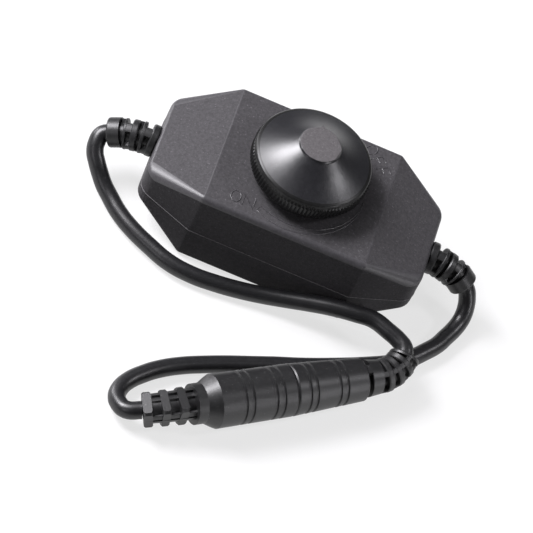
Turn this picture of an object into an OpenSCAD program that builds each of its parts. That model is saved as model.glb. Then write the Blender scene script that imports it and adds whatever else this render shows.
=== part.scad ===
// Rotary cord dimmer: a two-shell housing with a knob on a rotary potentiometer,
// a cord out of each end, and a barrel jack and plug that are mated on the cords.
// Millimetres, +Z up. The origin is on the floor below the middle of the knob.
// The long side of the housing lies along X, and its front faces -Y.

/* [Housing] */
// Length between the two end faces
body_l = 60; // [54:1:80]
// Width across the straight sides
body_w = 31.4; // [31:0.2:40]
// Width of each end face before its corners are rounded
end_w = 21; // [16:0.2:26]
// Height from the rest face to the top face
body_h = 19.5; // [19.3:0.1:24]
// Length of the flat on top and underneath
flat_l = 35; // [34:0.2:42]
// Fall of each sloping facet on top
top_fall = 5; // [2:0.1:5.2]
// Rise of each sloping facet underneath
bottom_rise = 5.4; // [2:0.1:6]
// Depth of the line where the two shells part, below the top face
seam_drop = 11; // [10.5:0.1:11.5]
// Thickness of the shell walls
wall = 1.8; // [1.4:0.1:2.2]
// Radius of the soft outer edges
edge_r = 1.2; // [0.6:0.1:1.8]
// Radius of the upright corners beside the end faces
corner_r = 4; // [3:0.1:5]

/* [Cover screws] */
// Distance between screws along the housing
screw_pitch_x = 27; // [26:0.5:32]
// Distance between screws across the housing
screw_pitch_y = 22; // [21.6:0.2:22.6]
// Diameter of the screw bosses
boss_d = 6; // [5.4:0.1:6.2]
// Diameter of the screw heads
screw_head_d = 3.6; // [3:0.1:4]
// Thickness of the screw heads
screw_head_h = 1.4; // [1:0.1:1.8]
// Diameter of the screw shanks
screw_d = 1.9; // [1.6:0.1:2.2]
// Length of the screw shanks
screw_l = 11; // [9:0.5:12]
// Depth of the counterbore above the rest face
screw_sink = 3; // [2:0.1:4]

/* [Knob] */
// Diameter of the knob over its ribs
knob_d = 25; // [22:0.5:28]
// Height of the rim below the cone
knob_rim_h = 4.5; // [4:0.1:5.5]
// Height of the cone above the rim
knob_cone_h = 4.1; // [3.6:0.1:6]
// Gap between the rim and the top face
knob_gap = 2.2; // [1.6:0.1:3.4]
// Diameter of the flat disc on top
disc_d = 8.5; // [7:0.1:11]
// Height of the disc above the cone
disc_h = 0.35; // [0.2:0.05:0.6]
// Reach of the pointer tip beyond the disc
pointer_l = 0.75; // [0.4:0.05:1.5]
// Direction of the pointer at rest
pointer_angle = 100; // [80:1:120]
// Number of ribs around the rim
rib_count = 96; // [60:4:120]
// Height of each rib
rib_h = 0.3; // [0.15:0.05:0.4]
// Length of the ribbed band
rib_band = 2.2; // [1:0.1:2.6]
// Wall of the rim
rim_wall = 1.5; // [1.2:0.1:2.5]
// Diameter of the boss that grips the shaft
hub_d = 9.4; // [8.8:0.1:11]

/* [Potentiometer] */
// Side of the square case
pot_w = 12; // [11:0.2:13]
// Height of the case
pot_h = 6.5; // [6:0.1:6.6]
// Wall of the case
pot_wall = 0.9; // [0.7:0.1:1.2]
// Thickness of the front plate
plate_t = 0.8; // [0.6:0.1:0.8]
// Diameter of the threaded bushing
bushing_d = 7; // [6.8:0.1:7.4]
// Height of the bushing above the top face
bushing_h = 3.1; // [2.8:0.1:3.3]
// Diameter of the shaft
shaft_d = 6; // [5.6:0.1:6]
// Thickness left at the shaft's flat
shaft_flat = 4.5; // [4:0.1:5]
// Length of the flat
shaft_flat_l = 6.5; // [5:0.1:7]
// Radial running clearance of the shaft
run_clear = 0.06; // [0.04:0.01:0.1]
// Width across the flats of the nut
nut_flats = 10; // [9:0.1:11]
// Thickness of the nut
nut_t = 2; // [1.6:0.1:2.2]
// Diameter of the washer
washer_d = 11; // [10.4:0.1:12]
// Thickness of the washer
washer_t = 0.5; // [0.3:0.1:0.6]

/* [Circuit board] */
// Length of the board
board_l = 48; // [44:0.5:49]
// Width of the board
board_w = 21.6; // [20:0.2:22]
// Thickness of the board
board_t = 1.6; // [1:0.1:1.6]
// Diameter of the filter capacitor
capacitor_d = 6.3; // [5:0.1:6.3]
// Length of the filter capacitor
capacitor_l = 7.4; // [6:0.1:9]

/* [Cords and strain reliefs] */
// Diameter of both cords
cord_d = 3.6; // [3.2:0.1:3.6]
// Depth of the cords below the top face, where they enter the housing
entry_drop = 8.3; // [8.1:0.1:8.5]
// Diameter of a strain relief at the housing
relief_d = 6.9; // [6.2:0.1:7.2]
// Diameter of a strain relief at its outer end
relief_tip_d = 6.2; // [5.6:0.1:6.6]
// Diameter of the core between the rings
relief_core_d = 4.5; // [4.2:0.1:4.8]
// Length of a strain relief outside the housing
relief_l = 9.9; // [9:0.1:11]
// Bend of the strain relief on the output side
output_bend = 28; // [20:1:32]
// Bend of the strain relief on the input side
input_bend = 38; // [30:1:42]
// Lean of the bends towards the front
relief_lean = 12; // [4:1:30]
// Diameter of the insulated conductors
lead_d = 1.3; // [1:0.1:1.4]
// Diameter of the bare conductors
wire_d = 0.8; // [0.6:0.1:0.9]

/* [Jack and plug] */
// Diameter of the jack's body
jack_d = 11; // [10.8:0.1:11.2]
// Length of the jack's body
jack_body_l = 17.4; // [15:0.1:18]
// Length of the jack's sloping shoulder
jack_shoulder_l = 1.7; // [1.2:0.1:3]
// Length of the jack's neck
jack_neck_l = 2; // [1.6:0.1:3]
// Diameter of the jack's neck
jack_neck_d = 8.2; // [7.4:0.1:9]
// Length of the jack's strain relief
jack_relief_l = 10; // [9:0.1:11]
// Diameter of the plug's body where it meets the jack
plug_d = 10.6; // [10:0.1:10.8]
// Diameter of the plug's body at its back
plug_back_d = 8.8; // [8:0.1:9]
// Length of the plug's body
plug_body_l = 16.2; // [14.5:0.1:16.8]
// Length of the collar behind the plug's body
plug_collar_l = 3.6; // [3:0.1:4]
// Diameter of the collar behind the plug's body
plug_collar_d = 7.6; // [7:0.1:8]
// Outer diameter of the plug's barrel
barrel_d = 5.5; // [5:0.1:5.7]
// Inner diameter of the plug's contact
contact_d = 2.1; // [1.9:0.1:2.5]
// Length of the barrel outside the plug's body
barrel_l = 9.5; // [8:0.1:9.6]
// Bend of the plug's strain relief
plug_bend = 53; // [46:1:60]

/* [Hidden] */

// Overrun of a cut past the face that it opens
cut = 0.5;
// Gap of a close fit
fit = 0.05;
// Gap round a piece that is only located
slack = 0.15;
black = [0.09, 0.09, 0.1];
steel = [0.75, 0.76, 0.78];
brass = [0.8, 0.65, 0.3];

// Housing
half_l = body_l / 2;
half_w = body_w / 2;
half_end = end_w / 2;
half_flat = flat_l / 2;
facet_run = half_l - half_flat;
top_angle = atan(top_fall / facet_run);
bottom_angle = atan(bottom_rise / facet_run);
taper_angle = atan((half_w - half_end) / facet_run);
inner_top_z = body_h - wall;
seam_z = body_h - seam_drop;
entry_z = body_h - entry_drop;
// Height and thickness of the lip that centres the shells on each other
lip_h = 1;
lip_t = 0.7;
// Radius of the soft edge at the parting line
reveal = 0.15;

// Cord entries
entry_core_r = seam_drop - entry_drop;
flange_d = 8.4;
flange_t = 1.6;
// Where the rings of a housing relief start and end, as shares of its length, and
// the bridges across its slots: how far each is turned from the top towards the
// front in the wide slots and in the narrow ones, and their share of the diameter
relief_ring_share = [[0, 0.16], [0.26, 0.33], [0.39, 0.53], [0.62, 0.67], [0.73, 1]];
relief_web_turns = [[-52, 128], [16, 105, 225]];
relief_web_share = 0.28;

// Potentiometer, from the underside of the top face downwards
plate_z = inner_top_z - plate_t;
board_top_z = plate_z - pot_h;
board_z = board_top_z - board_t;
pot_floor_t = 0.8;
track_t = 0.5;
track_z = board_top_z + pot_floor_t;
track_face_t = 0.1;
track_gap = 0.05;
wiper_t = 0.25;
wiper_lift = 0.45;
wiper_z = track_z + track_t + track_face_t + track_gap;
rotor_z = wiper_z + wiper_lift;
rotor_h = 2.6;
rotor_r = pot_w / 2 - pot_wall - slack;
hub_r = rotor_r * 0.82;
track_r = rotor_r * 0.72;
track_w = 1.2;
bushing_top_z = body_h + bushing_h;
pinned_travel = 150;
stop_clear = 2;
tab_half = 8;

// Knob
knob_z = body_h + knob_gap;
cone_z = knob_z + knob_rim_h;
cone_top_z = cone_z + knob_cone_h;
disc_top_z = cone_top_z + disc_h;
knob_skin = 1.5;
shaft_top_z = cone_top_z - knob_skin;
hub_z = bushing_top_z + slack + slack;
rib_drop = 1.3;
cone_sag = 0.3;
edge_soft = 0.25;
shaft_cut = shaft_flat - shaft_d / 2;

// Cover screws
screw_share = [for (i = [-1, 1], j = [-1, 1]) [i / 2, j / 2]];
pilot_d = screw_d - slack;

// Leads
lead_gap = 1.8;
lead_turn_x = board_l / 2 - wire_d * 3;
entry_inner_x = half_l - wall - flange_t - slack;

// Mated jack and plug: the place and heading of the plane where they meet
joint_at = [12.5, -40.8, jack_d / 2];
joint_heading = 35.8;
groove_w = 0.35;
groove_depth = 0.3;
barrel_wall = 0.45;
socket_wall = 0.4;
socket_d = barrel_d + fit * 2;
socket_l = barrel_l + 0.4;
insulator_l = 1.6;
plug_root_l = 6;
plug_relief_l = 8;
plug_relief_r = plug_relief_l * 180 / PI / plug_bend;
plug_relief_d = 7.3;
plug_relief_tip_d = 6.4;
plug_lift = 25;
plug_ring_share = [[0.12, 0.28], [0.38, 0.54], [0.64, 0.8], [0.9, 1]];
plug_web_turns = [[0, 90, 180, 270]];
plug_web_share = 0.15;
jack_relief_d = 7.8;
jack_relief_tip_d = 7.1;
jack_flat_share = 0.77;
jack_bend = 20;
jack_bend_side = 38;
jack_relief_r = jack_relief_l * 180 / PI / jack_bend;
jack_ring_share = [[0.16, 0.33], [0.5, 0.66], [0.82, 1]];
jack_web_turns = [[18, -75, -162, -255]];
jack_web_share = 0.2;

// Routes of the cords: hand-laid points on the floor, with the points near each
// end given from the end of the strain relief there
output_start = [[-1.3, -0.8, -0.7], [-1.6, -2.3, -1.6], [-1.2, -3.9, -2.7], [0, -5.4, -3.8],
    [1.5, -6.8, -5.1], [3.1, -8.3, -6.1], [4.9, -9.8, -6.7]];
output_route = [[-31.5, -13.1, 1.8], [-27.8, -15.7, 1.8], [-23.5, -17.9, 1.8],
    [-18.6, -19.9, 1.8], [-13.3, -20.6, 1.8], [-8.4, -20.3, 1.8], [-3.4, -19.7, 2],
    [1.4, -19, 2.5], [6.2, -18.4, 3.5], [10.8, -18, 4.8], [15.6, -17.8, 6.2],
    [20.3, -17.7, 7.1]];
output_finish = [[-8.5, 5, 0.5], [-4.8, 3.7, 0.6], [-2, 2.5, 0.5], [-0.6, 1.4, 0.4]];
input_start = [[1, -0.3, -0.7], [1.9, -1.2, -2.1], [2.4, -2.2, -3.4], [2.6, -3.5, -4.6],
    [2.4, -5.1, -5.5], [1.7, -7.3, -6], [0.7, -9.6, -6.2]];
input_route = [[38.7, -12.9, 1.8], [36.7, -15.8, 1.8], [34.3, -18.8, 1.8],
    [31.3, -21.5, 1.8], [26.8, -24.4, 1.8], [21.1, -27.6, 1.8], [13.6, -31.4, 1.8],
    [8.9, -33.5, 1.8], [4.3, -35.7, 1.8], [-0.3, -37.9, 1.8], [-4.7, -40.2, 1.8],
    [-9, -42.7, 1.8], [-12.9, -45.6, 1.8], [-15.5, -48.2, 1.8], [-17.6, -50.9, 1.8],
    [-18.7, -53.5, 1.9]];
input_finish = [[-5.6, 2.2, -2], [-4.7, 0.4, -1.5], [-3, -0.8, -0.8]];

// Plan of the housing, drawn in by an inset
module plan(inset) {
    side_x = half_flat - inset * tan(taper_angle / 2);
    side_y = half_w - inset;
    end_x = half_l - inset;
    end_y = side_y - (end_x - side_x) * tan(taper_angle);
    polygon([[side_x, side_y], [end_x, end_y], [end_x, -end_y], [side_x, -side_y],
        [-side_x, -side_y], [-end_x, -end_y], [-end_x, end_y], [-side_x, side_y]]);
}

// Side view of the housing, drawn in by an inset
module side_view(inset) {
    top_x = half_flat - inset * tan(top_angle / 2);
    low_x = half_flat - inset * tan(bottom_angle / 2);
    end_x = half_l - inset;
    top_z = body_h - inset;
    top_end_z = top_z - (end_x - top_x) * tan(top_angle);
    low_end_z = inset + (end_x - low_x) * tan(bottom_angle);
    polygon([[-end_x, low_end_z], [-low_x, inset], [low_x, inset], [end_x, low_end_z],
        [end_x, top_end_z], [top_x, top_z], [-top_x, top_z], [-end_x, top_end_z]]);
}

// Round corner of the outer form, with its soft edges at a distance from its axis
module soft_corner(reach) {
    rotate_extrude($fn = 32)
        intersection() {
            translate([reach, 0])
                circle(edge_r, $fn = 24);
            translate([0, -edge_r])
                square([reach + edge_r, edge_r * 2]);
        }
}

// Outer form with its soft edges
module outer_form() {
    flat_x = half_flat - edge_r * tan(taper_angle / 2);
    end_x = half_l - corner_r;
    end_y = half_w - (end_x - half_flat) * tan(taper_angle) - corner_r / cos(taper_angle);
    reach = half_l - edge_r - half_flat;
    top_end_z = body_h - reach * tan(top_angle) - edge_r / cos(top_angle);
    low_end_z = reach * tan(bottom_angle) + edge_r / cos(bottom_angle);
    hull() {
        for (i = [-1, 1], j = [-1, 1]) {
            for (z = [edge_r, body_h - edge_r])
                translate([i * flat_x, j * (half_w - edge_r), z])
                    soft_corner(0);
            for (z = [low_end_z, top_end_z])
                translate([i * end_x, j * end_y, z])
                    soft_corner(corner_r - edge_r);
        }
    }
}

// Hollow inside both shells
module cavity() {
    intersection() {
        linear_extrude(body_h)
            plan(wall);
        rotate([90, 0, 0])
            linear_extrude(body_w, center = true)
                side_view(wall);
    }
}

// Space above or below the parting line
module half_space(above) {
    side = body_l * 2;
    translate([-side / 2, -side / 2, above ? seam_z : seam_z - side])
        cube(side);
}

// Slot in an end wall for the neck of a strain relief, open downwards
module entry_slot(gap) {
    slot_r = entry_core_r + gap;
    depth = wall * 2 + cut;
    translate([half_l - wall - cut, 0, entry_z])
        rotate([0, 90, 0])
            cylinder(r = slot_r, h = depth, $fn = 48);
    translate([half_l - wall - cut, -slot_r, seam_z - cut])
        cube([depth, slot_r * 2, entry_z - seam_z + cut]);
}

module at_screws() {
    for (s = screw_share)
        translate([s[0] * screw_pitch_x, s[1] * screw_pitch_y, 0])
            children();
}

// Top shell: sloping ends, bosses for the screws, a hole for the bushing and
// a slot in each end wall
module top_cover() {
    color(black)
        difference() {
            union() {
                difference() {
                    intersection() {
                        outer_form();
                        half_space(true);
                    }
                    cavity();
                }
                intersection() {
                    at_screws()
                        translate([0, 0, seam_z])
                            cylinder(d = boss_d, h = body_h - seam_z - wall / 2, $fn = 48);
                    linear_extrude(body_h - wall / 2)
                        plan(wall / 2);
                }
            }
            at_screws()
                translate([0, 0, seam_z - cut])
                    cylinder(d = pilot_d, h = screw_l - (seam_z - screw_sink) + cut + cut, $fn = 32);
            translate([0, 0, inner_top_z - cut])
                cylinder(d = bushing_d + slack * 2, h = wall + cut * 2, $fn = 64);
            entry_slot(fit);
            rotate(180)
                entry_slot(fit);
        }
}

// Bottom shell: flat rest face, counterbored bosses, posts under the board and
// a lip inside the parting line
module bottom_cover() {
    post_d = 3;
    color(black)
        difference() {
            union() {
                difference() {
                    intersection() {
                        outer_form();
                        half_space(false);
                    }
                    cavity();
                }
                difference() {
                    intersection() {
                        union() {
                            translate([0, 0, seam_z - lip_h])
                                linear_extrude(lip_h)
                                    plan(wall - fit * 2);
                            translate([0, 0, seam_z - lip_h])
                                linear_extrude(lip_h * 2)
                                    plan(wall + fit);
                        }
                        rotate([90, 0, 0])
                            linear_extrude(body_w, center = true)
                                side_view(wall / 2);
                    }
                    translate([0, 0, seam_z - lip_h - cut])
                        linear_extrude(lip_h * 2 + cut * 2)
                            plan(wall + fit + lip_t);
                    translate([-half_l, -flange_d / 2 - slack, seam_z - lip_h - cut])
                        cube([body_l, flange_d + slack * 2, lip_h * 3]);
                    at_screws()
                        translate([0, 0, seam_z])
                            cylinder(d = boss_d + slack * 2, h = lip_h + cut, $fn = 48);
                }
                intersection() {
                    union() {
                        at_screws()
                            translate([0, 0, wall / 2])
                                cylinder(d = boss_d, h = seam_z - wall / 2, $fn = 48);
                        for (i = [-1, 1])
                            translate([i * (board_l / 2 - post_d * 2), 0, wall / 2])
                                cylinder(d = post_d, h = board_z - wall / 2, $fn = 32);
                    }
                    linear_extrude(body_h)
                        plan(wall / 2);
                    rotate([90, 0, 0])
                        linear_extrude(body_w, center = true)
                            side_view(wall / 2);
                }
            }
            at_screws() {
                translate([0, 0, -cut])
                    cylinder(d = screw_head_d + slack * 2, h = screw_sink + cut, $fn = 48);
                translate([0, 0, -cut])
                    cylinder(d = screw_d + slack * 2, h = seam_z + cut * 2, $fn = 32);
            }
        }
}

// Pan-head screws from below, with a cross recess
module cover_screws() {
    slot_w = screw_head_d / 6;
    slot_l = screw_head_d * 0.6;
    color(steel)
        at_screws()
            translate([0, 0, screw_sink])
                difference() {
                    union() {
                        translate([0, 0, -screw_head_h])
                            cylinder(d = screw_head_d, h = screw_head_h, $fn = 40);
                        translate([0, 0, -fit])
                            cylinder(d = pilot_d, h = screw_l + fit, $fn = 32);
                    }
                    for (a = [0, 90])
                        rotate(a)
                            translate([-slot_l / 2, -slot_w / 2, -screw_head_h - cut])
                                cube([slot_l, slot_w, screw_head_h / 2 + cut]);
                }
}

// Round bar along +X
module relief_ring(d, l) {
    rotate([0, 90, 0])
        cylinder(d = d, h = l, $fn = 40);
}

// Ring of a slotted strain relief, with soft edges
module soft_ring(d, l, soft) {
    rotate([0, 90, 0])
        rotate_extrude($fn = 48)
            polygon([[0, 0], [d / 2 - soft, 0], [d / 2, soft], [d / 2, l - soft],
                [d / 2 - soft, l], [0, l]]);
}

// Bridge between two rings, turned from the top towards the front
module relief_web(d, l, turn, share) {
    rotate([turn, 0, 0])
        intersection() {
            relief_ring(d, l);
            translate([0, -d * share / 2, 0])
                cube([l, d * share, d]);
        }
}

// Slotted strain relief bent downwards from +X: rings on a curved core, and
// bridges across each slot, turned in the order of a list
module bent_relief(bend, l, d_start, d_end, rings, turns, lean, share, flat_share = 0) {
    radius = l * 180 / PI / bend;
    translate([0, 0, -radius]) {
        rotate(a = -120, v = [1, 1, 1])
            rotate_extrude(angle = bend, $fn = 96)
                translate([radius, 0])
                    circle(d = relief_core_d, $fn = 32);
        for (i = [0:len(rings) - 1]) {
            from = rings[i][0];
            ring_l = (rings[i][1] - from) * l;
            d = d_start + (d_end - d_start) * rings[i][1];
            last = i == len(rings) - 1;
            ring_turn = last ? bend : from == 0 ? 0 : (from + rings[i][1]) / 2 * bend;
            ring_x = last ? -ring_l : from == 0 ? fit : -ring_l / 2;
            rotate([0, ring_turn, 0])
                translate([ring_x, 0, radius])
                    if (flat_share > 0)
                        rotate([lean, 0, 0])
                            flat_ring(d, ring_l, flat_share);
                    else if (last)
                        end_ring(d, ring_l);
                    else
                        soft_ring(d, ring_l, ring_l / 6);
            slot_from = i == 0 ? 0 : rings[i - 1][1];
            slot_l = (from - slot_from) * l;
            if (slot_l > 0)
                rotate([0, (from + slot_from) / 2 * bend, 0])
                    translate([-slot_l * 0.75, 0, radius])
                        for (turn = turns[i % len(turns)])
                            relief_web(d * (flat_share > 0 ? flat_share : 1) - slack, slot_l * 1.5,
                                turn + lean, share);
        }
    }
}

// Ring with four flat sides and rounded corners
module flat_ring(d, l, flat_share) {
    side = d * flat_share;
    intersection() {
        soft_ring(d, l, l / 6);
        translate([0, -side / 2, -side / 2])
            cube([l, side, side]);
    }
}

// Last ring, with a rounded outer edge
module end_ring(d, l) {
    soft = d / 18;
    rotate([0, 90, 0])
        rotate_extrude($fn = 64)
            polygon([[0, 0], [d / 2, 0], [d / 2, l - soft], [d / 2 - soft * 0.3, l - soft * 0.3],
                [d / 2 - soft, l], [0, l]]);
}

// Strain relief of the housing: flange inside, neck in the wall, rings outside
module housing_relief(bend) {
    neck_x = half_l - wall - slack * 2;
    intersection() {
        translate([entry_inner_x, 0, entry_z])
            relief_ring(flange_d, flange_t);
        translate([0, -flange_d / 2, seam_z + fit])
            cube([half_l, flange_d, flange_d]);
        rotate([90, 0, 0])
            linear_extrude(body_w, center = true)
                side_view(wall + slack);
    }
    translate([neck_x, 0, entry_z]) {
        relief_ring((entry_core_r - fit) * 2, wall + slack * 2 + cut);
        translate([0, -entry_core_r + fit, -entry_core_r + fit])
            cube([wall + slack * 2 - fit, (entry_core_r - fit) * 2, entry_core_r]);
    }
    translate([half_l, 0, entry_z])
        rotate([-relief_lean, 0, 0])
            bent_relief(bend, relief_l, relief_d, relief_tip_d, relief_ring_share,
                relief_web_turns, relief_lean, relief_web_share);
}

module input_strain_relief() {
    color(black)
        housing_relief(input_bend);
}

module output_strain_relief() {
    color(black)
        mirror([1, 0, 0])
            housing_relief(output_bend);
}

// Knob: ribbed rim, hollow cone with a slight sag, raised disc with a pointer
module knob() {
    rim_r = knob_d / 2 - rib_h;
    foot_r = rim_r - edge_soft;
    top_r = disc_d / 2;
    steps = 12;
    lip_r = rim_r - edge_soft;
    cone = [for (i = [0:steps]) let (t = i / steps)
        [lip_r + (top_r - lip_r) * t,
            cone_z + knob_cone_h * t - cone_sag * sin(180 * t)]];
    hollow_r = rim_r - rim_wall;
    rib_z = cone_z - rib_drop - rib_band;
    color([0.16, 0.16, 0.17])
        rotate(pointer_angle)
            difference() {
                union() {
                    rotate_extrude($fn = 128)
                        polygon(concat([[0, knob_z], [foot_r, knob_z], [rim_r, rib_z],
                            [rim_r, cone_z - edge_soft]], cone, [[0, cone_top_z]]));
                    translate([0, 0, rib_z])
                        linear_extrude(rib_band)
                            polygon([for (i = [0:rib_count * 2 - 1])
                                let (r = i % 2 == 0 ? knob_d / 2 : rim_r - fit,
                                    a = i * 180 / rib_count)
                                [r * cos(a), r * sin(a)]]);
                    translate([0, 0, cone_top_z - cone_sag])
                        cylinder(d = disc_d, h = disc_h + cone_sag, $fn = 64);
                    translate([0, 0, cone_top_z - pointer_l])
                        linear_extrude(pointer_l + disc_h)
                            polygon([[top_r + pointer_l, 0], [top_r * 0.9, pointer_l],
                                [top_r * 0.9, -pointer_l]]);
                }
                rotate_extrude($fn = 96)
                    polygon([[hub_d / 2, knob_z - cut], [hollow_r, knob_z - cut],
                        [hollow_r, cone_z - rib_drop],
                        [hub_d / 2, cone_top_z - knob_skin * 2]]);
                translate([0, 0, knob_z - cut])
                    cylinder(d = hub_d + fit, h = hub_z - knob_z + cut, $fn = 64);
                shaft_form(fit, knob_z - cut, shaft_top_z + fit);
            }
}

// Round shaft with a flat along its upper part, grown by a gap
module shaft_form(gap, from_z, to_z) {
    flat_z = shaft_top_z - shaft_flat_l;
    r = shaft_d / 2 + gap;
    difference() {
        translate([0, 0, from_z])
            cylinder(r = r, h = to_z - from_z, $fn = 64);
        translate([-shaft_d, shaft_cut + gap, flat_z + gap])
            cube([shaft_d * 2, shaft_d, to_z - flat_z + cut]);
    }
}

// Shaft with the rotor disc and the tab that meets the stop
module pot_shaft() {
    tab_h = rotor_h / 2;
    color(steel)
        rotate(pointer_angle) {
            shaft_form(0, rotor_z + rotor_h - cut, shaft_top_z);
            translate([0, 0, rotor_z])
                cylinder(r = hub_r, h = rotor_h, $fn = 64);
            translate([0, 0, rotor_z])
                rotate(-tab_half)
                    rotate_extrude(angle = tab_half * 2, $fn = 96)
                        translate([hub_r - cut, 0])
                            square([rotor_r - hub_r + cut, tab_h]);
            translate([0, 0, wiper_z + wiper_t + track_gap])
                cylinder(r = hub_r / 2, h = rotor_z - wiper_z - wiper_t, $fn = 32);
        }
}

// Spring wiper under the rotor: a ring with two arms that reach the track
module pot_wiper() {
    arm_w = track_w * 0.7;
    color(brass)
        rotate(pointer_angle)
            translate([0, 0, wiper_z]) {
                difference() {
                    translate([0, 0, track_gap])
                        cylinder(r = hub_r * 0.6, h = wiper_t - track_gap + track_gap, $fn = 48);
                    translate([0, 0, -cut])
                        cylinder(r = hub_r / 4, h = wiper_t + cut * 2, $fn = 32);
                }
                for (i = [-1, 1])
                    translate([0, i * track_w / 2 - arm_w / 4, track_gap])
                        cube([track_r, arm_w / 2, wiper_t]);
                translate([track_r, 0, 0])
                    cylinder(d = track_w, h = wiper_t, $fn = 24);
            }
}

// Resistance wafer with its horseshoe track
module pot_track() {
    color([0.35, 0.22, 0.12])
        translate([0, 0, track_z]) {
            cylinder(r = rotor_r, h = track_t, $fn = 64);
            rotate(pointer_angle - pinned_travel)
                rotate_extrude(angle = pinned_travel * 2, $fn = 96)
                    translate([track_r - track_w / 2, track_t / 2])
                        square([track_w, track_t / 2 + track_face_t]);
        }
}

// Case of the potentiometer, open at the top, with the stop inside
module pot_housing() {
    inner_r = pot_w / 2 - pot_wall;
    stop_half = 180 - pinned_travel - tab_half - stop_clear;
    color([0.2, 0.3, 0.24])
        translate([0, 0, board_top_z]) {
            difference() {
                translate([-pot_w / 2, -pot_w / 2, 0])
                    cube([pot_w, pot_w, pot_h]);
                translate([0, 0, pot_floor_t])
                    cylinder(r = inner_r, h = pot_h, $fn = 64);
            }
            rotate(pointer_angle + 180 - stop_half)
                translate([0, 0, rotor_z - board_top_z])
                    rotate_extrude(angle = stop_half * 2, $fn = 96)
                        translate([hub_r + slack * 2, 0])
                            square([inner_r - hub_r + slack * 2, rotor_h / 2]);
        }
}

// Front plate and threaded bushing, in one piece
module pot_bushing() {
    bore_r = shaft_d / 2 + run_clear;
    color(steel)
        difference() {
            union() {
                translate([-pot_w / 2, -pot_w / 2, plate_z])
                    cube([pot_w, pot_w, plate_t]);
                translate([0, 0, plate_z + plate_t / 2])
                    cylinder(d = bushing_d, h = bushing_top_z - plate_z - plate_t / 2, $fn = 64);
            }
            translate([0, 0, plate_z - cut])
                cylinder(r = bore_r, h = bushing_top_z - plate_z + cut * 2, $fn = 64);
        }
}

// Five pins: three of the track in front and two of the switch behind
module pot_terminals() {
    pin_w = 1;
    pin_t = 0.4;
    pin_reach = 0.9;
    pin_z = track_z + track_t / 2;
    pin_foot = 1;
    pitch = pot_w / 4;
    color(steel) {
        for (i = [-1, 0, 1])
            translate([i * pitch - pin_w / 2, -pot_w / 2, 0])
                pin(pin_w, pin_t, pin_reach, pin_z, pin_foot);
        for (i = [-1, 1])
            translate([i * pitch / 2 - pin_w / 2, pot_w / 2, 0])
                mirror([0, 1, 0])
                    pin(pin_w, pin_t, pin_reach, pin_z, pin_foot);
    }
}

// Flat pin that comes out of the case and turns down through the board
module pin(w, t, reach, z, foot) {
    translate([0, -reach, z])
        cube([w, reach, t]);
    translate([0, -reach, board_z - foot])
        cube([w, t, z + t - board_z + foot]);
}

module pot_washer() {
    color(steel)
        translate([0, 0, body_h])
            difference() {
                cylinder(d = washer_d, h = washer_t, $fn = 64);
                translate([0, 0, -cut])
                    cylinder(d = bushing_d + slack * 2, h = washer_t + cut * 2, $fn = 64);
            }
}

module pot_nut() {
    color(steel)
        translate([0, 0, body_h + washer_t])
            difference() {
                intersection() {
                    cylinder(d = nut_flats / cos(30), h = nut_t, $fn = 6);
                    cylinder(d1 = nut_flats / cos(30) + nut_t, d2 = nut_flats * 1.04,
                        h = nut_t, $fn = 64);
                }
                translate([0, 0, -cut])
                    cylinder(d = bushing_d + fit, h = nut_t + cut * 2, $fn = 64);
            }
}

// Board with notches for the bosses and holes for the leads and pins
module circuit_board() {
    pad_d = wire_d + slack * 2;
    pin_hole = 1.3;
    color([0.1, 0.32, 0.16])
        translate([0, 0, board_z])
            difference() {
                intersection() {
                    translate([-board_l / 2, -board_w / 2, 0])
                        cube([board_l, board_w, board_t]);
                    linear_extrude(board_t)
                        plan(wall + fit + lip_t + slack);
                }
                at_screws()
                    translate([0, 0, -cut])
                        cylinder(d = boss_d + slack * 4, h = board_t + cut * 2, $fn = 48);
                for (i = [-1, 1], j = [-1, 1])
                    translate([i * lead_turn_x, j * lead_gap / 2, -cut])
                        cylinder(d = pad_d, h = board_t + cut * 2, $fn = 24);
                for (i = [-1, 0, 1])
                    translate([i * pot_w / 4, -pot_w / 2 - pin_hole / 2, -cut])
                        cylinder(d = pin_hole, h = board_t + cut * 2, $fn = 24);
                for (i = [-1, 1])
                    translate([i * pot_w / 8, pot_w / 2 + pin_hole / 2, -cut])
                        cylinder(d = pin_hole, h = board_t + cut * 2, $fn = 24);
            }
}

// Power transistor lying on its tab
module mosfet() {
    case_l = 6.1;
    case_w = 6.5;
    case_h = 2.3;
    tab_l = 1.6;
    tab_h = 0.5;
    leg_w = 0.8;
    leg_l = 2.6;
    mosfet_x = pot_w / 2 + leg_l + case_l / 2;
    translate([mosfet_x, 0, board_top_z]) {
        color([0.12, 0.12, 0.12])
            translate([-case_l / 2, -case_w / 2, 0])
                cube([case_l, case_w, case_h]);
        color(steel) {
            translate([case_l / 2, -case_w / 2.4, 0])
                cube([tab_l, case_w / 1.2, tab_h]);
            for (i = [-1, 1])
                translate([-case_l / 2 - leg_l + leg_w, i * case_w / 3 - leg_w / 2, 0])
                    cube([leg_l - leg_w + fit, leg_w, tab_h]);
        }
    }
}

// Small eight-legged chip under the board
module timer_chip() {
    chip_l = 4.9;
    chip_w = 3.9;
    chip_h = 1.5;
    leg_w = 0.4;
    leg_t = 0.25;
    leg_reach = 1;
    leg_pitch = 1.27;
    translate([0, 0, board_z]) {
        color([0.12, 0.12, 0.12])
            translate([-chip_l / 2, -chip_w / 2, -chip_h - leg_t / 2])
                cube([chip_l, chip_w, chip_h]);
        color(steel)
            for (i = [-1.5:1:1.5], j = [-1, 1]) {
                translate([i * leg_pitch - leg_w / 2,
                    j * (chip_w + leg_reach - fit) / 2 - (leg_reach + fit) / 2, -chip_h / 2])
                    cube([leg_w, leg_reach + fit, leg_t]);
                translate([i * leg_pitch - leg_w / 2,
                    j * (chip_w / 2 + leg_reach - leg_t / 2) - leg_t / 2, -chip_h / 2])
                    cube([leg_w, leg_t, chip_h / 2]);
            }
    }
}

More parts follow.
